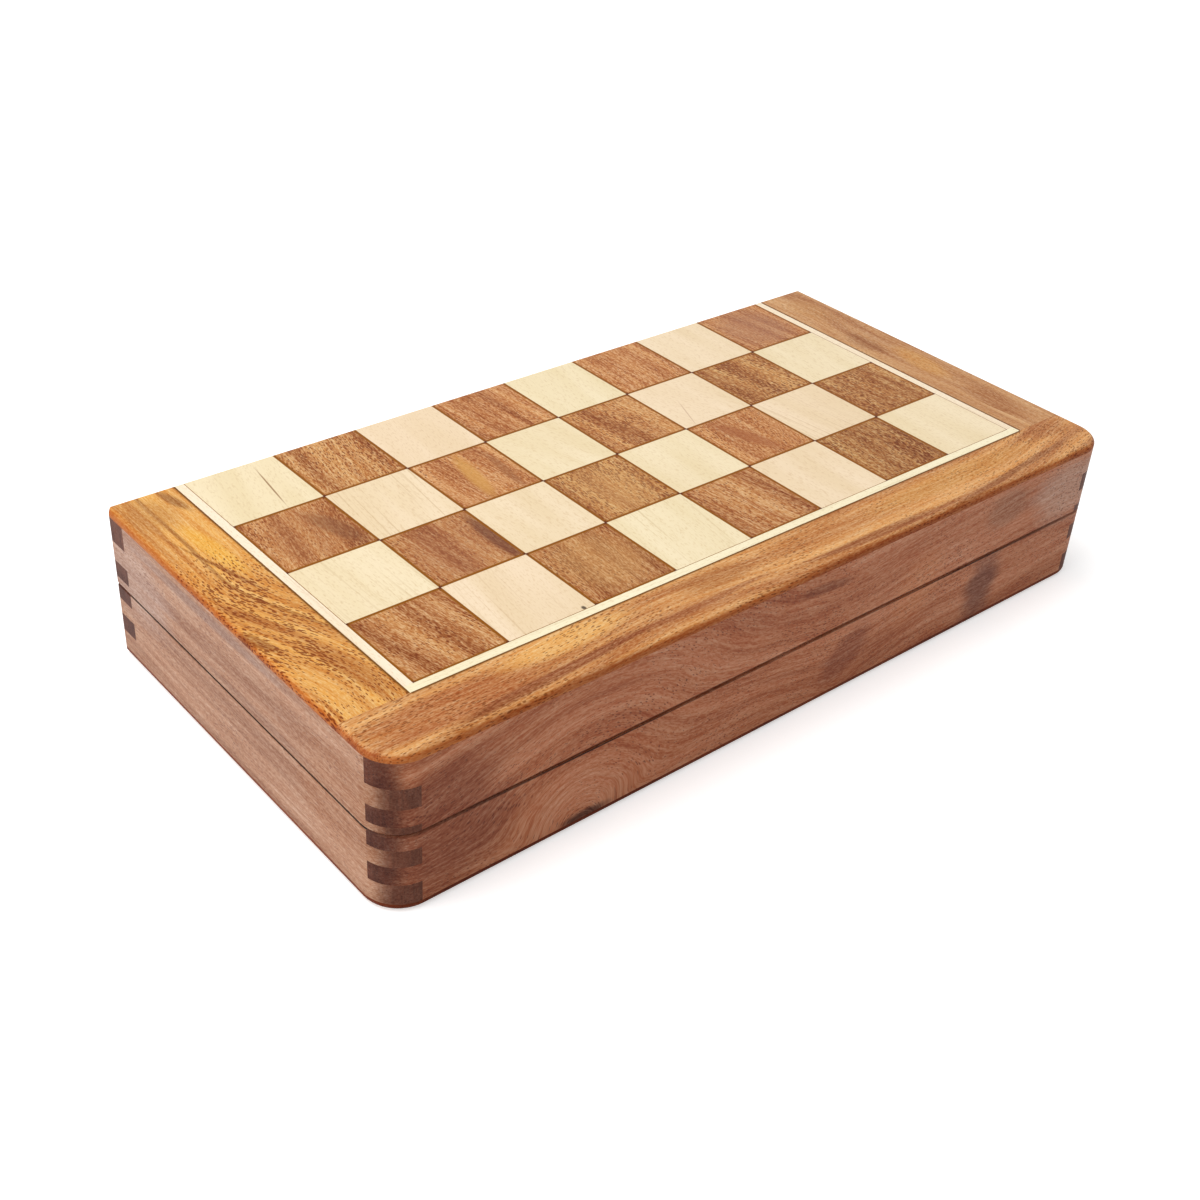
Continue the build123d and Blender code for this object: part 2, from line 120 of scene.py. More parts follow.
def figured_wood(tree, mm, tones, band, sway, fibre, fleck=0.1, pores=None, clear=None, arches=(),
                 slants=(), streaks=(), patches=()):
    """Colour and relief of a sawn face. The growth lines are the places where the distance
    across the grain, less the arches over hidden knots, the slants and a slow drift, is the
    same. The tones, the fibre, the flecks and the pores follow these lines. A streak keeps
    to one of them, and a patch to one spot. An arch widens with the distance across.

    An arch has its place along the grain, its reach, its widening and its rise. A slant has its
    start, its end and its rise, and a streak its line, half width, tint and strength. Pores
    have their amount, tint, strength and length, and thin out from the second place given as
    clear to the first."""
    along, across, deep = add(tree, "SeparateXYZ", mm, out=("X", "Y", "Z"))
    line = across
    for place, reach, widening, rise in arches:
        width = add(tree, "Math", across, widening, reach, operation="MULTIPLY_ADD")
        off = add(tree, "Math", along, place, operation="SUBTRACT")
        off = add(tree, "Math", off, width, operation="DIVIDE")
        square = add(tree, "Math", off, off, operation="MULTIPLY")
        fall = add(tree, "Math", square, -1.0, operation="MULTIPLY")
        hump = add(tree, "Math", fall, operation="EXPONENT")
        line = add(tree, "Math", hump, -rise, line, operation="MULTIPLY_ADD")
    for start, end, rise in slants:
        ramp = add(tree, "MapRange", along, start, end, 0.0, rise, interpolation_type="SMOOTHSTEP")
        line = add(tree, "Math", line, ramp, operation="SUBTRACT")
    drift = add(tree, "TexNoise", spread(tree, mm, 60, 24), None, 1.0, 3.0, 0.45)
    line = add(tree, "Math", line, add(tree, "MapRange", drift, 0.0, 1.0, -sway, sway), operation="ADD")
    bent = add(tree, "CombineXYZ", along, line, deep)

    growth = add(tree, "TexNoise", spread(tree, bent, 110, band), None, 1.0, 4.0, 0.62)
    dark, middle, light = tones
    colour = add(tree, "ValToRGB", growth, out="Color", stops=((0.36, dark), (0.5, middle), (0.65, light)))
    for centre, half_width, tint, strength in streaks:
        away = add(tree, "Math", add(tree, "Math", line, centre, operation="SUBTRACT"), operation="ABSOLUTE")
        share = add(tree, "MapRange", away, half_width, half_width * 0.3, 0.0, strength,
                    interpolation_type="SMOOTHSTEP")
        colour = add(tree, "MixRGB", share, colour, linear(tint))
    colour = stained(tree, mm, colour, growth, patches)

    # A power above one darkens and reddens, as the deeper colour of dense late wood does
    lines = add(tree, "TexNoise", spread(tree, bent, 16, 0.8), None, 1.0, 3.0, 0.65)
    flecks = add(tree, "TexNoise", spread(tree, bent, 1.3, 0.36), None, 1.0, 1.0, 0.6)
    power = add(tree, "Math", add(tree, "MapRange", lines, 0.3, 0.7, 1 + fibre, 1 - fibre),
                add(tree, "MapRange", flecks, 0.35, 0.65, 1 + fleck, 1 - fleck), operation="MULTIPLY")
    colour = add(tree, "Gamma", colour, power)
    both = add(tree, "Math", lines, flecks, operation="ADD")
    if not pores:
        return colour, both
    amount, pore_tint, strength, pore_length = pores
    cells = add(tree, "TexVoronoi", spread(tree, bent, pore_length, pore_width), None, 1.0)
    crowd = add(tree, "TexNoise", spread(tree, mm, 24, 10), None, 1.0, 2.0)
    crowd = add(tree, "MapRange", crowd, 0.35, 0.65, 0.5, 1.0)
    reach = add(tree, "Math", crowd, amount, operation="MULTIPLY")
    if clear:
        kept = add(tree, "MapRange", along, *clear, 0.0, 1.0, interpolation_type="SMOOTHSTEP")
        reach = add(tree, "Math", reach, kept, operation="MULTIPLY")
    inside = add(tree, "Math", reach, cells, operation="SUBTRACT")
    open_pore = add(tree, "MapRange", inside, -0.02, 0.10, 0.0, 1.0, interpolation_type="SMOOTHSTEP")
    share = add(tree, "Math", open_pore, strength, operation="MULTIPLY")
    colour = add(tree, "MixRGB", share, colour, linear(pore_tint))
    grain_relief = add(tree, "Math", both, 0.25, operation="MULTIPLY")
    return colour, add(tree, "Math", grain_relief, open_pore, operation="SUBTRACT")


def end_grain(tree, colour, mm, axis, tint):
    """Darkens the faces that cut across the grain, because end grain drinks more lacquer, and
    draws the growth rings on them as fine upright lines."""
    rings_per_mm = (0.02, 0.11, 1.6)  # along the grain, across it and through the board
    rings = add(tree, "VectorMath", mm, rings_per_mm, operation="MULTIPLY")
    rings = add(tree, "TexNoise", rings, None, 1.0, 2.0, 0.6)
    shade = add(tree, "MapRange", rings, 0.35, 0.65, 0.82, 1.15)
    cut = add(tree, "MixRGB", 1.0, colour, linear(tint), blend_type="MULTIPLY")
    cut = add(tree, "VectorMath", cut, None, None, shade, operation="SCALE")
    facing = add(tree, "SeparateXYZ", add(tree, "TexCoord", out="Normal"), out=axis)
    share = add(tree, "MapRange", add(tree, "Math", facing, operation="ABSOLUTE"), 0.25, 0.8, 0.0, 1.0,
                interpolation_type="SMOOTHSTEP")
    return add(tree, "MixRGB", share, colour, cut)


def coat(tree, shader, colour, height=None, depth_mm=0.01):
    """Gives the shader a pattern's colour, and its height, if any, as relief of this depth."""
    tree.links.new(colour, shader.inputs["Base Color"])
    if height is not None:
        relief = add(tree, "Bump", {"Height": height, "Distance": depth_mm / 1000})
        tree.links.new(relief, shader.inputs["Normal"])


lower_rim, upper_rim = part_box("base_front_wall")[1].z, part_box("lid_front_wall")[0].z
seam_height = 1000 * (lower_rim + upper_rim) / 2
long_seam_shade = (0.75, 120, 70)  # half width, then how far from mid-length it is faint and full
side_seam_shade = (0.45, 63, 56)


def painted_seam_shade(tree, colour, mm, half_width, tight, open_to):
    """Paints shade along the seam: a dark line on the edges of the saw cut, where the gap between the
    rims falls into shadow. The upright faces and the bevels of the rims have it, and not the flat of
    the rims. It is faint where the rims close tight, so far from mid-length and beyond, and full where
    they stand open, so far from mid-length and nearer."""
    along, up = add(tree, "SeparateXYZ", mm, out=("X", "Y"))
    off = add(tree, "Math", up, seam_height, operation="SUBTRACT")
    near = add(tree, "MapRange", add(tree, "Math", off, operation="ABSOLUTE"), half_width, half_width * 0.6)
    level = add(tree, "SeparateXYZ", add(tree, "TexCoord", out="Normal"), out="Z")
    upright = add(tree, "MapRange", add(tree, "Math", level, operation="ABSOLUTE"), 0.95, 0.8)
    opened = add(tree, "MapRange", add(tree, "Math", along, operation="ABSOLUTE"), tight, open_to, 0.3, 1.0)
    share = add(tree, "Math", near, upright, operation="MULTIPLY")
    share = add(tree, "Math", share, opened, operation="MULTIPLY")
    # Painted shade: the shadow in the gap between the rims, drawn as a near-black line
    return add(tree, "MixRGB", share, colour, linear("#1c0c0a"))


def wall_material(name, axes, cut_tint, seam_shade, **figure):
    # Satin lacquer over sanded sheesham: reddish brown, with arched figure and short dark pores, and a line
    # of painted shade at the seam
    material, tree, shader = finish(name, Roughness=0.45, IOR=1.5, Specular_IOR_Level=0.15)
    mm = grain_mm(tree, axes)
    colour, height = figured_wood(tree, mm, **figure)
    colour = end_grain(tree, colour, mm, axes[0].upper(), cut_tint)
    coat(tree, shader, painted_seam_shade(tree, colour, mm, *seam_shade), height, 0.02)
    return material


def dress(names, material):
    """Gives these nodes a new finish."""
    for name in names:
        nodes[name].material_slots[0].material = material


halves = ("base", "lid")
long_wall_wood = wall_material(
    "lacquered sheesham, grain along the box", "xzy", "#938890", long_seam_shade,
    tones=("#a5603f", "#b8734f", "#c88562"), band=8.0, sway=4.0, fibre=0.2, fleck=0.15,
    pores=(0.32, "#5e2b1c", 0.7, 1.4), arches=((-72, 9, 0.9, 15), (20, 16, 0.6, -6)),
    patches=((-70, 2.5, 12, 2.6, 0.0, "#4a2a20", 0.85), (-112, 20, 26, 26, 0.0, "#864a33", 0.75),
             (20, 13, 12, 9, 0.5, "#8f5139", 0.65), (8, 38, 12, 2.2, -0.1, "#80472f", 0.6),
             (47, 24, 14, 14, 0.3, "#cb8358", 0.5), (77, 12, 11, 13, 0.1, "#74483a", 0.8),
             # The pale greyish patch at 112 along, at the right end, is painted sheen
             (82, 36, 12, 9, 0.0, "#96684f", 0.5), (112, 33, 22, 13, 0.0, "#c79e88", 0.7)))
side_wall_wood_and_sheen = wall_material(
    "lacquered sheesham, grain across the box", "yzx", "#9b7d76", side_seam_shade,
    # These tones are lighter and greyer than the long walls': partly the board's own tone, partly painted
    # sheen from the lamp at the left
    tones=("#9f7259", "#b08368", "#be9277"), band=5.0, sway=2.5, fibre=0.2, fleck=0.16,
    pores=(0.32, "#74483a", 0.65, 1.8),
    patches=((10, 40, 50, 2.6, -0.02, "#95796f", 0.6), (-10, 25, 40, 1.6, 0.0, "#94705f", 0.45),
             (52, 30, 24, 18, 0.0, "#b99b8e", 0.5), (-48, 20, 26, 26, 0.0, "#b07c5b", 0.5)))
for half in halves:
    dress([f"{half}_front_wall", f"{half}_back_wall"], long_wall_wood)
    dress([f"{half}_left_wall", f"{half}_right_wall"], side_wall_wood_and_sheen)

# Panels. A birch plywood panel in a rebate closes each half, with a sheet of bare mild
# steel let into its outer face, under the squares. Neither shows once the box is made.


def plywood_material():
    # Birch plywood: pale rotary-cut face veneer with a faint wandering figure
    material, tree, shader = finish("birch plywood", Roughness=0.6)
    colour, height = figured_wood(tree, grain_mm(tree, "xyz"), tones=("#c7a377", "#d2b087", "#dcc096"),
                                  band=7.0, sway=12.0, fibre=0.06, fleck=0.04)
    coat(tree, shader, colour, height, 0.02)
    return material


def steel_material():
    # Cold-rolled mild steel: fine rolling lines in one direction
    material, tree, shader = finish("cold-rolled steel", Metallic=1.0, Roughness=0.35)
    lines = add(tree, "TexNoise", spread(tree, grain_mm(tree, "xyz"), 40, 0.3), None, 1.0, 2.0)
    colour = add(tree, "ValToRGB", lines, out="Color", stops=((0.3, "#8f9194"), (0.7, "#b4b6b8")))
    coat(tree, shader, colour)
    return material


plywood = plywood_material()
steel = steel_material()
for half in halves:
    dress([f"{half}_plywood_panel"], plywood)
    dress([f"{half}_steel_sheet"], steel)

# Squares. Sixteen sheesham and sixteen maple squares a half, 2 mm thick, each cut from
# another part of the board, so every one has its own tone and streaks. They are glued
# edge to edge, and the glue line shows as a thin golden brown thread round each.
low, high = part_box("lid_dark_squares")
pitch = 26.2
columns_aside = 4  # on each side of the middle of the box
rows_aside = 2  # on each side of the joint between the second and the third row
middle_row = 1000 * high.y - rows_aside * pitch  # where that joint is
side_joint = 1000 * high.x  # the outer joints, next to the stringing
front_joint = 1000 * low.y
thread_width = 0.85
pale_thread_width = 0.25
most_lean = 0.16  # the most that the grain of a square leans across, for each millimetre along
most_jump = 900.0  # the most that it is moved each way, to another part of the board
dark_seed, pale_seed = 3.0, 11.0


def cell_of(tree, mm, seed):
    """A number and a colour drawn by chance for the square that a point lies in. A point on the
    outer edge counts to the last square, by a hair."""
    hair = 0.001
    x, y = add(tree, "SeparateXYZ", mm, out=("X", "Y"))
    column = add(tree, "MapRange", x, -columns_aside * pitch, columns_aside * pitch, hair,
                 2 * columns_aside - hair)
    row = add(tree, "MapRange", y, middle_row - rows_aside * pitch, middle_row + rows_aside * pitch, hair,
              2 * rows_aside - hair)
    column = add(tree, "Math", column, operation="FLOOR")
    row = add(tree, "Math", row, operation="FLOOR")
    return add(tree, "TexWhiteNoise", add(tree, "CombineXYZ", column, row, seed), out=("Value", "Color"))


def moved(tree, mm, dice):
    """Coordinates with the grain along Y, leaned a little and moved to another part of the
    board for each square."""
    x, y, z = add(tree, "SeparateXYZ", mm, out=("X", "Y", "Z"))
    lean = add(tree, "MapRange", add(tree, "SeparateXYZ", dice, out="Z"), 0.0, 1.0, -most_lean, most_lean)
    turned = add(tree, "CombineXYZ", y, add(tree, "Math", y, lean, x, operation="MULTIPLY_ADD"), z)
    jump = add(tree, "VectorMath", dice, None, None, most_jump, operation="SCALE")
    return add(tree, "VectorMath", turned, jump, operation="ADD")


def off_joint(tree, value, most, outer):
    """Millimetres to the nearest inner joint, at most so many from the middle, or the outer one."""
    number = add(tree, "Math", add(tree, "Math", value, pitch, operation="DIVIDE"), operation="ROUND")
    number = add(tree, "Clamp", number, -float(most), float(most))
    inner = add(tree, "Math", number, -pitch, value, operation="MULTIPLY_ADD")
    inner = add(tree, "Math", inner, operation="ABSOLUTE")
    return add(tree, "Math", inner, add(tree, "Math", outer, operation="ABSOLUTE"), operation="MINIMUM")


def glue_threads(tree, mm, colour, width):
    """Draws the glue lines round the squares, as far in from the joint as this width, and
    darker where two cross."""
    x, y = add(tree, "SeparateXYZ", mm, out=("X", "Y"))
    to_side = add(tree, "Math", side_joint, add(tree, "Math", x, operation="ABSOLUTE"), operation="SUBTRACT")
    off_x = off_joint(tree, x, columns_aside - 1, to_side)
    to_front = add(tree, "Math", y, front_joint, operation="SUBTRACT")
    from_middle = add(tree, "Math", y, middle_row, operation="SUBTRACT")
    off_y = off_joint(tree, from_middle, rows_aside - 1, to_front)
    nearest = add(tree, "Math", off_x, off_y, operation="MINIMUM")
    crossing = add(tree, "Math", off_x, off_y, operation="MAXIMUM")
    dark = add(tree, "MapRange", crossing, 1.0, 0.3, 0.0, 1.0)
    thread = add(tree, "MixRGB", dark, linear("#8c5206"), linear("#5a2402"))
    share = add(tree, "MapRange", nearest, width, width * 0.5, 0.0, 1.0, interpolation_type="SMOOTHSTEP")
    return add(tree, "MixRGB", share, colour, thread)


def dark_square_material(half, seed, marks):
    # Sheesham under satin lacquer: golden to reddish brown by the square, full of short dark pores
    material, tree, shader = finish(f"sheesham squares of the {half}", Roughness=0.4, IOR=1.5,
                                    Specular_IOR_Level=0.07)
    mm = grain_mm(tree, "xyz")
    value, dice = cell_of(tree, mm, seed)
    crowded, tone = add(tree, "SeparateXYZ", dice, out=("X", "Y"))
    amount = add(tree, "MapRange", crowded, 0.0, 1.0, 0.36, 0.54)
    colour, height = figured_wood(tree, moved(tree, mm, dice), tones=("#9e6742", "#b57f56", "#ca996c"),
                                  band=6.0, sway=4.0, fibre=0.28, fleck=0.32,
                                  pores=(amount, "#6e2e0c", 0.8, 1.6))
    warm = add(tree, "MixRGB", value, linear("#fff3e0"), linear("#fffbdc"))
    colour = add(tree, "MixRGB", 1.0, colour, warm, blend_type="MULTIPLY")
    shade = add(tree, "MapRange", tone, 0.0, 1.0, 0.9, 1.08)
    colour = add(tree, "VectorMath", colour, None, None, shade, operation="SCALE")
    colour = stained(tree, grain_mm(tree, "yxz"), colour, 0.5, marks)
    coat(tree, shader, glue_threads(tree, mm, colour, thread_width), height, 0.01)
    return material


def maple(tree, mm, tones, line_strength):
    """Close cream wood: a faint slow figure, thin lines along the grain and small flecks."""
    dark, light = tones
    slow = add(tree, "TexNoise", spread(tree, mm, 60, 9), None, 1.0, 2.0)
    colour = add(tree, "ValToRGB", slow, out="Color", stops=((0.35, dark), (0.65, light)))
    lines = add(tree, "TexNoise", spread(tree, mm, 40, 0.7), None, 1.0, 1.0)
    share = add(tree, "MapRange", lines, 0.58, 0.76, 0.0, line_strength)
    colour = add(tree, "MixRGB", share, colour, linear("#c0a47c"))
    flecks = add(tree, "TexNoise", spread(tree, mm, 1.4, 0.45), None, 1.0, 2.0)
    share = add(tree, "MapRange", flecks, 0.52, 0.72, 0.0, 0.4)
    return add(tree, "MixRGB", share, colour, linear("#cdb088"))


def light_square_material(half, seed, marks):
    # Hard maple under satin lacquer: cream, from yellowish to pinkish by the square
    material, tree, shader = finish(f"maple squares of the {half}", Roughness=0.4, IOR=1.5,
                                    Specular_IOR_Level=0.15)
    mm = grain_mm(tree, "xyz")
    value, dice = cell_of(tree, mm, seed)
    strength = add(tree, "MapRange", value, 0.3, 1.0, 0.05, 0.5)
    colour = maple(tree, moved(tree, mm, dice), ("#ebdabd", "#f3e4cd"), strength)
    warm = add(tree, "MixRGB", add(tree, "SeparateXYZ", dice, out="Y"), linear("#fff5ea"), linear("#fffdec"))
    colour = add(tree, "MixRGB", 1.0, colour, warm, blend_type="MULTIPLY")
    colour = stained(tree, grain_mm(tree, "yxz"), colour, 0.5, marks)
    coat(tree, shader, glue_threads(tree, mm, colour, pale_thread_width))
    return material


# Marks on single squares of the lid: whole dark squares of another tone, then their streaks. The
# pale ones have a hair crack, a faint line and a chip. Along the grain is along Y here
dark_marks = {"base": (), "lid": ((-2, -66, 20, 15, 0.0, "#9c6346", 0.35),
                                  (24, -92, 18, 16, 0.0, "#a36a44", 0.35),
                                  (50, 92, 18, 16, 0.0, "#a5745a", 0.5),
                                  (-28, -39, 18, 16, 0.0, "#cf9f63", 0.3),
                                  (-2, -13, 18, 16, 0.0, "#cc9a62", 0.3),
                                  (-4, -54.2, 17, 3.0, 0.0, "#6a3f30", 0.7),
                                  (22, -84, 14, 4.5, -0.3, "#7a4a30", 0.5),
                                  (24, -40, 16, 3.2, 0.15, "#cf9850", 0.7),
                                  (22, -31, 14, 2.0, 0.1, "#8f5836", 0.5),
                                  (-2, 38, 15, 4.0, -0.35, "#a05c35", 0.6))}
pale_marks = {"base": (), "lid": ((49.5, -87.5, 13, 0.35, 0.136, "#9c7650", 0.9),
                                  (18, 33, 9, 0.3, 0.4, "#c2a083", 0.6),
                                  (-42, -55.6, 1.1, 0.8, 0.0, "#3a2a1c", 0.9))}
for number, half in enumerate(halves):
    dress([f"{half}_dark_squares"], dark_square_material(half, dark_seed + number, dark_marks[half]))
    dress([f"{half}_light_squares"], light_square_material(half, pale_seed + number, pale_marks[half]))

# Stringing. Strips of maple 2.5 mm wide frame the squares on three sides. The two side
# strips butt against the front one, and a dark glue thread parts each from its border.


def stringing_material(name, axes, tint):
    # Quarter-sawn maple strip: plain cream with a few long lines
    material, tree, shader = finish(name, Roughness=0.4, IOR=1.5, Specular_IOR_Level=0.15)
    plain = maple(tree, grain_mm(tree, axes), ("#f6e8cc", "#fbf0d8"), 0.3)
    coat(tree, shader, add(tree, "MixRGB", 1.0, plain, linear(tint), blend_type="MULTIPLY"))
    return material


front_string_wood = stringing_material("maple stringing along the front", "xyz", "#fffff4")
side_string_wood = stringing_material("maple stringing along the sides", "yxz", "#fff8f4")
for half in halves:
    dress([f"{half}_front_stringing"], front_string_wood)
    dress([f"{half}_side_stringing"], side_string_wood)

# Borders. Three broad strips of golden sheesham, 2 mm thick, with their outer edge rounded
# over into a lip. The front strip runs the whole length, and the side strips butt against it.
border_joint = 1000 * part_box("lid_right_border")[0].x
border_front_joint = 1000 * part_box("lid_front_border")[1].y
past_the_ends = 70.0  # beyond the ends of the side strips, which meet stringing all along
thread_edge, thread_core = 0.8, 0.35  # how far from the joint the glue's colour ends, and is full


def border_material(name, axes, lip, joint, reach, **figure):
    # Satin lacquer over golden sheesham from near the sapwood, darker and redder on the rounded lip,
    # partly its own tone and partly painted shade where it turns from the top face. A thread
    # of glue shows where it meets the stringing, which reaches this far from the middle of the box
    material, tree, shader = finish(name, Roughness=0.38, IOR=1.5, Specular_IOR_Level=0.07)
    mm = grain_mm(tree, axes)
    colour, height = figured_wood(tree, mm, **figure)
    along, across = add(tree, "SeparateXYZ", mm, out=("X", "Y"))
    away = add(tree, "Math", add(tree, "Math", across, joint, operation="SUBTRACT"), operation="ABSOLUTE")
    beside = add(tree, "MapRange", add(tree, "Math", along, operation="ABSOLUTE"), reach, reach - 0.3)
    near = add(tree, "MapRange", away, thread_edge, thread_core, 0.0, 0.95)
    share = add(tree, "Math", near, beside, operation="MULTIPLY")
    colour = add(tree, "MixRGB", share, colour, linear("#6b4004"))
    # Painted shade: the lip is tinted more as its face turns from the top, on top of the round-over's own
    # redder tone
    upright = add(tree, "SeparateXYZ", add(tree, "TexCoord", out="Normal"), out="Z")
    share = add(tree, "MapRange", add(tree, "Math", upright, operation="ABSOLUTE"), 0.96, 0.6)
    turned = add(tree, "MixRGB", 1.0, colour, linear(lip), blend_type="MULTIPLY")
    coat(tree, shader, add(tree, "MixRGB", share, colour, turned), height, 0.01)
    return material


golden = ("#c17f40", "#d79850", "#e8b062")
ochre = ("#b67848", "#cb8f57", "#dea466")
ruddy = ("#ad764c", "#c38f60", "#d6a673")
# Both lip tints are partly painted shade; the base's is darker, as painted shade for a lip that lies down by
# the paper
lid_lip_tint_and_shade, base_lip_tint_and_deeper_shade = "#d8ae96", "#94655a"
lid_left = border_material(
    "golden sheesham of the lid, left", "yxz", lid_lip_tint_and_shade, -border_joint, past_the_ends,
    tones=golden, band=4.0, sway=2.0, fibre=0.24, fleck=0.2,
    pores=(0.5, "#7a3204", 0.85, 1.7), clear=(62, 10),
    slants=((20, -40, 18),), streaks=((-119, 0.9, "#8c5225", 0.6), (-106, 0.8, "#8c5225", 0.5)),
    patches=((32, -114.5, 19, 3.8, -0.1, "#eab04e", 0.8), (57, -111.5, 9, 2.2, -0.2, "#7c4624", 0.65),
             (23, -117.2, 20, 0.9, -0.265, "#8a4c1e", 0.75), (-2, -121, 15, 2.6, -0.45, "#a86532", 0.6),
             (-31, -113.8, 22, 4.2, -0.15, "#a86532", 0.6), (-9, -125.5, 8, 2.4, -0.3, "#834a22", 0.6),
             (54, -119, 14, 8, 0.0, "#b57e48", 0.55)))
lid_front = border_material(
    "golden sheesham of the lid, front", "xyz", lid_lip_tint_and_shade, border_front_joint, border_joint,
    tones=ochre, band=5.0, sway=1.5, fibre=0.24, fleck=0.2, pores=(0.38, "#703608", 0.7, 1.8),
    arches=((-40, 34, 0, 4),), slants=((80, 132, 8),),
    patches=((-106, -54, 30, 9, 0.0, "#ad683d", 0.7), (-68, -49.5, 24, 5, 0.0, "#e8b067", 0.8),
             (-20, -51, 16, 6, 0.0, "#a96e3e", 0.55), (12, -51, 20, 6, 0.0, "#c08149", 0.5),
             (70, -52, 44, 5.5, 0.0, "#cf9553", 0.75),
             (-82, -59.4, 42, 2.2, 0.07, "#8a4c2e", 0.75), (-28, -57.4, 30, 1.4, 0.03, "#995c3a", 0.6),
             (30, -60, 38, 2.2, -0.02, "#8a4c2c", 0.7), (88, -59.6, 34, 1.5, 0.11, "#874d2a", 0.7),
             (116, -50, 13, 5, 0.0, "#a8673a", 0.65)))
lid_right = border_material(
    "golden sheesham of the lid, right", "yxz", lid_lip_tint_and_shade, border_joint, past_the_ends,
    tones=ruddy, band=6.0, sway=6.0, fibre=0.2, fleck=0.18, pores=(0.3, "#7a4822", 0.6, 1.6),
    patches=((22, 114, 10, 5, 0.0, "#935c35", 0.55), (2, 119, 15, 5, 0.1, "#cf9655", 0.7),
             (-28, 117, 15, 6, 0.0, "#a0653a", 0.55), (50, 117, 12, 7, 0.0, "#c08a55", 0.5)))
dress(["lid_left_border"], lid_left)
dress(["lid_front_border"], lid_front)
dress(["lid_right_border"], lid_right)
base_strips = (("left", "yxz", golden, -border_joint, past_the_ends),
               ("front", "xyz", ochre, border_front_joint, border_joint),
               ("right", "yxz", ruddy, border_joint, past_the_ends))
for number, (side, axes, tones, joint, reach) in enumerate(base_strips):
    wood = border_material(f"golden sheesham of the base, {side}", axes, base_lip_tint_and_deeper_shade, joint, reach,
                           tones=tones, band=5.0, sway=5.0, fibre=0.19, fleck=0.13,
                           pores=(0.34, "#6b3a18", 0.75, 1.8), arches=((-30 + 40 * number, 30, 0, 12),))
    dress([f"base_{side}_border"], wood)

# Hinges. Two pressed brass butt hinges join the halves along the back, let into the rims,
# on drawn steel pins, with countersunk brass screws.


def brass_material():
    # Yellow brass, tumbled bright: faint clouds of tarnish and fine scratches without a direction
    material, tree, shader = finish("yellow brass", Metallic=1.0, Roughness=0.3)
    mm = grain_mm(tree, "xyz")
    clouds = add(tree, "TexNoise", mm, None, 0.25, 3.0)
    colour = add(tree, "ValToRGB", clouds, out="Color", stops=((0.3, "#b08c47"), (0.7, "#cfac66")))
    scratches = add(tree, "TexNoise", mm, None, 4.0, 2.0)
    coat(tree, shader, colour, scratches, 0.01)
    return material


brass = brass_material()
for half in halves:
    dress([f"{half}_hinge_leaves", f"{half}_hinge_screws"], brass)
dress(["hinge_pins"], steel)

# Closing magnets. Nickel-plated discs are let into the front rims, two to a half, and hold the
# box shut, because it has no catch.


def nickel_material():
    # Bright nickel plate over a sintered magnet: a plain mirror, very faintly clouded
    material, tree, shader = finish("nickel plate", Metallic=1.0, Roughness=0.2)
    clouds = add(tree, "TexNoise", grain_mm(tree, "xyz"), None, 0.6, 2.0)
    colour = add(tree, "ValToRGB", clouds, out="Color", stops=((0.3, "#aeaba5"), (0.7, "#bfbcb6")))
    coat(tree, shader, colour)
    return material


nickel = nickel_material()
for half in halves:
    dress([f"{half}_closure_magnets"], nickel)

# Foam inserts. A block of closed-cell foam lines each half, sprayed with green nylon flock.
# A round-bottomed slot is cut in it for every man, with one finger channel between the two
# rows, and it is pressed in between the walls and glued to the plywood.
back_rank = ("rook_1", "knight_1", "bishop_1", "queen", "king", "bishop_2", "knight_2", "rook_2")
felt_thickness = 0.0008
slot_clearance = 0.0003
channel_depth = 0.0118
channel_end = 0.006
foam_round = 0.0005
foam_land = 1.1 * foam_round  # where the flat of a land begins, just off the rounded rim
quarter = np.linspace(0, np.pi / 2, 5)
round_in = foam_round * (1 - np.sin(quarter))
round_down = foam_round * (1 - np.cos(quarter))


def place_of(colour, column, pawn):
    """A lying man's axis, where its wood ends at the foot, its radius, and which way it points."""
    low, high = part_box(f"{colour}_{back_rank[column]}")
    x, z, radius = (low.x + high.x) / 2, (low.z + high.z) / 2, (high.x - low.x) / 2
    if not pawn:
        return x, z, low.y, radius, 1
    low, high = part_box(f"{colour}_pawns")
    return x, (low.z + high.z) / 2, high.y, (high.z - low.z) / 2, -1


def quads(rows, columns, wrap=False):
    """Corner numbers of the faces between neighbouring rows and columns of a grid."""
    number = np.arange(rows * columns).reshape(rows, columns)
    if wrap:
        number = np.concatenate([number, number[:, :1]], axis=1)
    corners = (number[:-1, :-1], number[:-1, 1:], number[1:, 1:], number[1:, :-1])
    return np.stack(corners, axis=-1).reshape(-1, 4)


def mesh_piece(name, points, faces, material):
    """A smooth piece from its points and the corner numbers of its faces."""
    mesh = bpy.data.meshes.new(name)
    mesh.from_pydata(points.reshape(-1, 3).tolist(), [], faces)
    mesh.materials.append(material)
    mesh.shade_smooth()
    piece = bpy.data.objects.new(name, mesh)
    bpy.context.scene.collection.objects.link(piece)
    return piece


def slot_section(radius, axis_depth):
    """Across a slot: distance from its middle and depth. From the land a quarter round leads
    over the rim, then an upright wall, then a half circle about the man's axis."""
    arc_points = 9
    turn = np.linspace(0, np.pi / 2, arc_points)
    out = np.concatenate([[radius + foam_land], radius + round_in, radius * np.cos(turn)])
    down = np.concatenate([[0], round_down, axis_depth + radius * np.sin(turn)])
    return np.concatenate([-out, out[-2::-1]]), np.concatenate([down, down[-2::-1]])


def slot_lines(row, face, reach):
    """Lines across one row of men: their x, the depth of the slots, and where each slot ends."""
    x, depth, end = [], [], []
    for column, (centre, axis, foot, radius, way) in enumerate(row):
        out, deep = slot_section(radius + slot_clearance, abs(face - axis))
        x.append(centre + out)
        depth.append(deep)
        end.append(np.full(len(out), foot - way * reach))
        if column < len(row) - 1:
            following = row[column + 1]
            x.append([(centre + following[0]) / 2])
            depth.append([0])
            end.append([(foot + following[2]) / 2 - way * reach])
    return np.concatenate(x), np.concatenate(depth), np.concatenate(end)


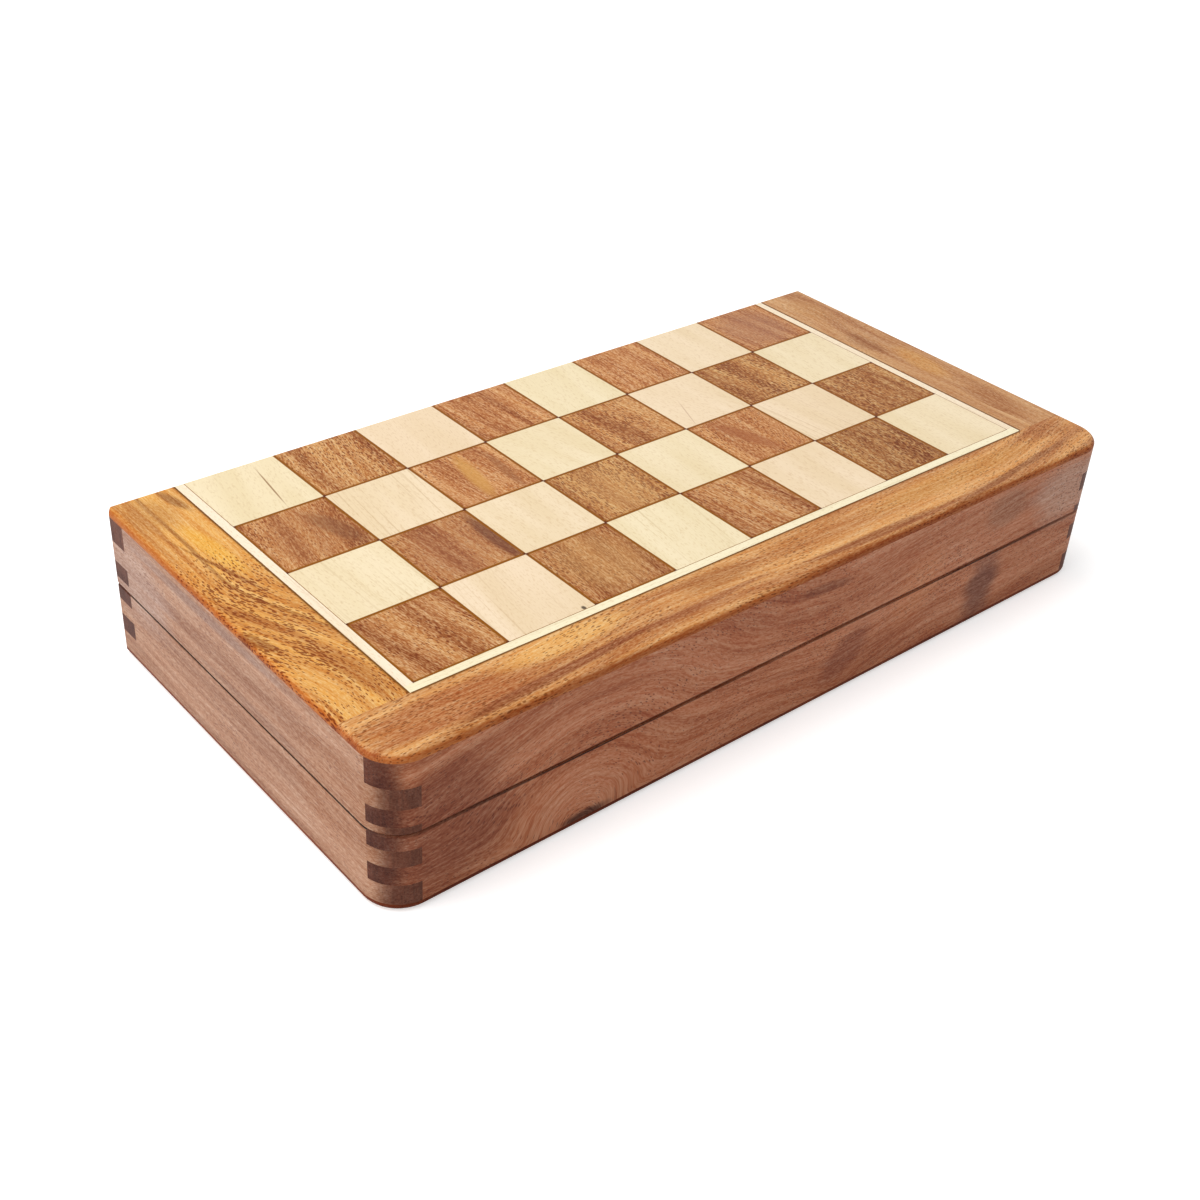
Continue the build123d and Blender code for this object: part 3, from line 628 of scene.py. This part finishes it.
def foam_insert(half, colour, material):
    """The foam as a depth below its face, on a grid of lines across the men and rows along
    them. Between rows the depth steps from land to slot to channel, and each step is an
    upright wall with a quarter round at its rim and another at its foot."""
    low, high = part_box(f"{half}_foam_insert")
    face, down = (high.z, -1) if half == "base" else (low.z, 1)
    reach = felt_thickness + slot_clearance
    skirt_place = np.concatenate([[0], round_in[::-1], [foam_land]])
    skirt_depth = np.concatenate([[high.z - low.z], round_down[::-1], [0]])
    ledge_place = channel_end + np.concatenate([[-foam_land], -round_in, round_in[::-1]])
    ledge_depth = np.concatenate([[0], round_down, channel_depth - round_down[::-1]])
    side = np.concatenate([skirt_place, ledge_place])

    def lines(pawns):
        """All the lines across, from the left side of the foam to the right one."""
        row = [place_of(colour, column, pawns) for column in range(len(back_rank))]
        x, depth, end = slot_lines(row, face, reach)
        flat = np.zeros(len(side))
        return (np.concatenate([low.x + side, x, high.x - side[::-1]]),
                np.concatenate([flat, depth, flat]),
                np.concatenate([flat + end[0], end, flat + end[-1]]))

    x_men, depth_men, end_men = lines(False)
    x_pawns, depth_pawns, end_pawns = lines(True)
    flat = np.zeros(len(x_men))
    ends = np.concatenate([np.zeros(len(skirt_place)), ledge_depth])
    channel = np.concatenate([ends, np.full(len(x_men) - 2 * len(ends), channel_depth), ends[::-1]])
    sides = flat.copy()
    sides[:len(skirt_depth)] = skirt_depth
    sides[-len(skirt_depth):] = skirt_depth[::-1]
    rows = []

    def add_row(x, y, depth):
        """One row of the grid, no higher than the skirt at the two sides of the foam."""
        rows.append(np.stack([x, y + flat, np.maximum(depth, sides)], axis=-1))

    def add_step(x, y, before, after):
        """The rows of one upright wall, from the depth before it to the depth after it."""
        rise = after - before
        soft = np.sign(rise) * np.minimum(1, np.abs(rise) / (2 * foam_round))
        add_row(x, y - foam_land, before)
        for inward, downward in zip(round_in, round_down):
            add_row(x, y - inward, before + soft * downward)
        for inward, downward in zip(round_in[::-1], round_down[::-1]):
            add_row(x, y + inward, after - soft * downward)
        add_row(x, y + foam_land, after)

    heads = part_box(f"{colour}_{back_rank[0]}")[1].y + slot_clearance
    pawn_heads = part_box(f"{colour}_pawns")[0].y - slot_clearance
    for place, depth in zip(skirt_place, skirt_depth):
        add_row(x_men, low.y + place, flat + depth)
    add_step(x_men, end_men, flat, depth_men)
    add_step(x_men, heads, depth_men, channel)
    add_step(x_pawns, pawn_heads, channel, depth_pawns)
    add_step(x_pawns, end_pawns, depth_pawns, flat)
    for place, depth in zip(skirt_place[::-1], skirt_depth[::-1]):
        add_row(x_pawns, high.y - place, flat + depth)
    grid = np.stack(rows)
    grid[..., 2] = face + down * grid[..., 2]
    number = np.arange(grid[..., 0].size).reshape(grid.shape[:2])
    rim = np.concatenate([number[0, :-1], number[:-1, -1], number[-1, :0:-1], number[:0:-1, 0]])
    faces = quads(*number.shape).tolist() + [rim[::-1].tolist()]
    if half == "lid":
        faces = [corners[::-1] for corners in faces]
    piece = mesh_piece(f"{half}_flocked_foam", grid, faces, material)
    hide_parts(f"{half}_foam_insert")
    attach(piece, half)


def flock_material():
    # Nylon flock on foam: a dense short pile, matt, slightly mottled where it has been brushed.
    # Its fibres are finer than the render shows, so they are drawn as tufts of 0.4 mm
    material, tree, shader = finish("green nylon flock", Roughness=1.0, Sheen_Weight=0.2, Sheen_Roughness=0.4,
                                    IOR=1.3)
    mm = grain_mm(tree, "xyz")
    brushed = add(tree, "TexNoise", mm, None, 0.12, 2.0)
    fibres = add(tree, "TexNoise", mm, None, 2.6, 2.0)
    both = add(tree, "Math", add(tree, "Math", brushed, fibres, operation="ADD"), 0.5, operation="MULTIPLY")
    colour = add(tree, "ValToRGB", both, out="Color", stops=((0.38, "#123423"), (0.62, "#20543a")))
    coat(tree, shader, colour, fibres, 0.12)
    return material


flock = flock_material()
for half, colour in (("base", "white"), ("lid", "black")):
    foam_insert(half, colour, flock)

# Chessmen. Turned boxwood for white and rosewood for black, waxed, each with a nickel
# plated magnet in its foot under a disc of green felt.


def man_material(name, **figure):
    # Close-grained turning wood, waxed and buffed: the grain runs up the man, which lies along Y
    material, tree, shader = finish(name, Roughness=0.28, IOR=1.5)
    colour, height = figured_wood(tree, grain_mm(tree, "yxz"), **figure)
    coat(tree, shader, colour, height, 0.01)
    return material


def felt_material():
    # Wool felt: matt, with a short nap that catches the light at its edges, drawn as coarse as the
    # flock so that it shows
    material, tree, shader = finish("green wool felt", Roughness=0.95, Sheen_Weight=0.2)
    nap = add(tree, "TexNoise", grain_mm(tree, "xyz"), None, 2.5, 3.0)
    colour = add(tree, "ValToRGB", nap, out="Color", stops=((0.3, "#173a22"), (0.7, "#2a5a36")))
    coat(tree, shader, colour, nap, 0.1)
    return material


def felt_pads(colour, half, material):
    """Sixteen discs, each a profile carried round the man's axis: flat faces with a soft edge."""
    edge = 0.00025
    flat_from = 3 * edge  # how far in from the rim the flat of a face begins
    inset = 0.0004
    points_around = 40
    turn = np.linspace(0, 2 * np.pi, points_around, endpoint=False)
    soft_in, soft_up = edge * (1 - np.sin(quarter)), edge * (1 - np.cos(quarter))
    ring_in = np.concatenate([[flat_from], soft_in, soft_in[::-1], [flat_from]])
    ring_up = np.concatenate([[0], soft_up, felt_thickness - soft_up[::-1], [felt_thickness]])
    ring_in, ring_up = ring_in[:, None], ring_up[:, None]
    points, faces, start = [], [], 0
    for column in range(len(back_rank)):
        for pawn in (False, True):
            x, z, foot, radius, way = place_of(colour, column, pawn)
            out = radius - inset - ring_in
            y = foot - way * (felt_thickness - ring_up) + 0 * turn
            disc = np.stack([x + out * np.cos(turn), y, z + out * np.sin(turn)], axis=-1)
            number = start + np.arange(y.size).reshape(y.shape)
            sides = (start + quads(*y.shape, wrap=True)).tolist()
            sides += [number[0, ::-1].tolist(), number[-1].tolist()]
            faces += [corners[::-1] for corners in sides] if way > 0 else sides
            points.append(disc.reshape(-1, 3))
            start += y.size
    piece = mesh_piece(f"{colour}_wool_felt_pads", np.concatenate(points), faces, material)
    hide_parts(f"{colour}_felt_pads")
    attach(piece, half)


boxwood = man_material("waxed boxwood", tones=("#cc9f5e", "#d8b070", "#e2c084"), band=3.0, sway=3.0,
                       fibre=0.06, pores=(0.12, "#b98c4e", 0.4, 1.2))
rosewood = man_material("waxed rosewood", tones=("#2a110b", "#3f1c13", "#5a2a1c"), band=2.5, sway=3.0,
                        fibre=0.12, pores=(0.2, "#1c0a06", 0.6, 1.2))
felt = felt_material()
for colour, half, wood in (("white", "base", boxwood), ("black", "lid", rosewood)):
    dress([f"{colour}_{man}" for man in (*back_rank, "pawns")], wood)
    dress([f"{colour}_piece_magnets"], nickel)
    felt_pads(colour, half, felt)

# Studio. White paper on the table, a broad softbox overhead and one at the left, and soft
# fill from all round. None of it is part of the box.
paper_lift = 0.5  # how much the paper glows for the camera alone
floor_size = 6.0
floor_gap = 0.0002  # keeps the paper clear of the faces that the box rests on
fill = 0.45  # how strongly the surroundings light the box, where the camera sees them at 1


def paper_material():
    # Matt white paper: the camera sees it white, and it keeps the box's soft shadow
    material, tree, shader = finish("white paper", Roughness=0.9, Specular_IOR_Level=0.1)
    shader.inputs["Base Color"].default_value = linear("#ededed")
    seen = add(tree, "LightPath", out="Is Camera Ray")
    lift = add(tree, "Math", seen, paper_lift, operation="MULTIPLY")
    glow = add(tree, "Emission", (1, 1, 1, 1), lift)
    lifted = add(tree, "AddShader", shader.outputs[0], glow)
    tree.links.new(lifted, tree.nodes["Material Output"].inputs["Surface"])
    return material


bpy.ops.mesh.primitive_plane_add(size=floor_size, location=(0, 0, -floor_gap))
floor = bpy.context.object
floor.name = "studio_floor"
floor.data.materials.append(paper_material())

world = bpy.data.worlds.new("studio")
bpy.context.scene.world = world
world.use_nodes = True
sky = world.node_tree
camera_ray, glossy_ray, clear_ray = add(sky, "LightPath",
                                        out=("Is Camera Ray", "Is Glossy Ray", "Is Transmission Ray"))
seen = add(sky, "Math", camera_ray, glossy_ray, operation="MAXIMUM")
seen = add(sky, "Math", seen, clear_ray, operation="MAXIMUM")
sky.links.new(add(sky, "MapRange", seen, 0.0, 1.0, fill, 1.0), sky.nodes["Background"].inputs["Strength"])
sky.nodes["Background"].inputs["Color"].default_value = (1, 1, 1, 1)


def softbox(name, place, target, size, power):
    """A square area lamp aimed at a point."""
    lamp = bpy.data.lights.new(name, "AREA")
    lamp.size = size
    lamp.energy = power
    made = bpy.data.objects.new(name, lamp)
    bpy.context.scene.collection.objects.link(made)
    made.location = place
    made.rotation_euler = (Vector(target) - Vector(place)).to_track_quat("-Z", "Y").to_euler()


softbox("overhead_softbox", place=(-0.35, 0.25, 1.3), target=(0, 0, 0), size=0.9, power=11.0)
softbox("left_softbox", place=(-1.2, 0.1, 0.5), target=(0, 0, 0.02), size=0.7, power=5.0)

# Camera. It stands at the front left of the box and above it, and is tipped a little to one
# side, as the one that took the photograph was.
camera_place = Vector((-0.26513, -0.28037, 0.26295))
camera_aim = Vector((0.55351, 0.61499, -0.56162))
camera_up = Vector((0.32587, 0.46066, 0.82559))
lens_mm = 48.2

camera = bpy.data.objects.new("camera", bpy.data.cameras.new("camera"))
bpy.context.scene.collection.objects.link(camera)
camera.data.lens = lens_mm
camera.data.sensor_width = 36.0
camera.data.clip_start = 0.01
turn = Matrix((camera_aim.cross(camera_up), camera_up, -camera_aim)).transposed()
camera.matrix_world = Matrix.Translation(camera_place) @ turn.to_4x4()
bpy.context.scene.camera = camera
bpy.context.scene.view_settings.view_transform = "Standard"
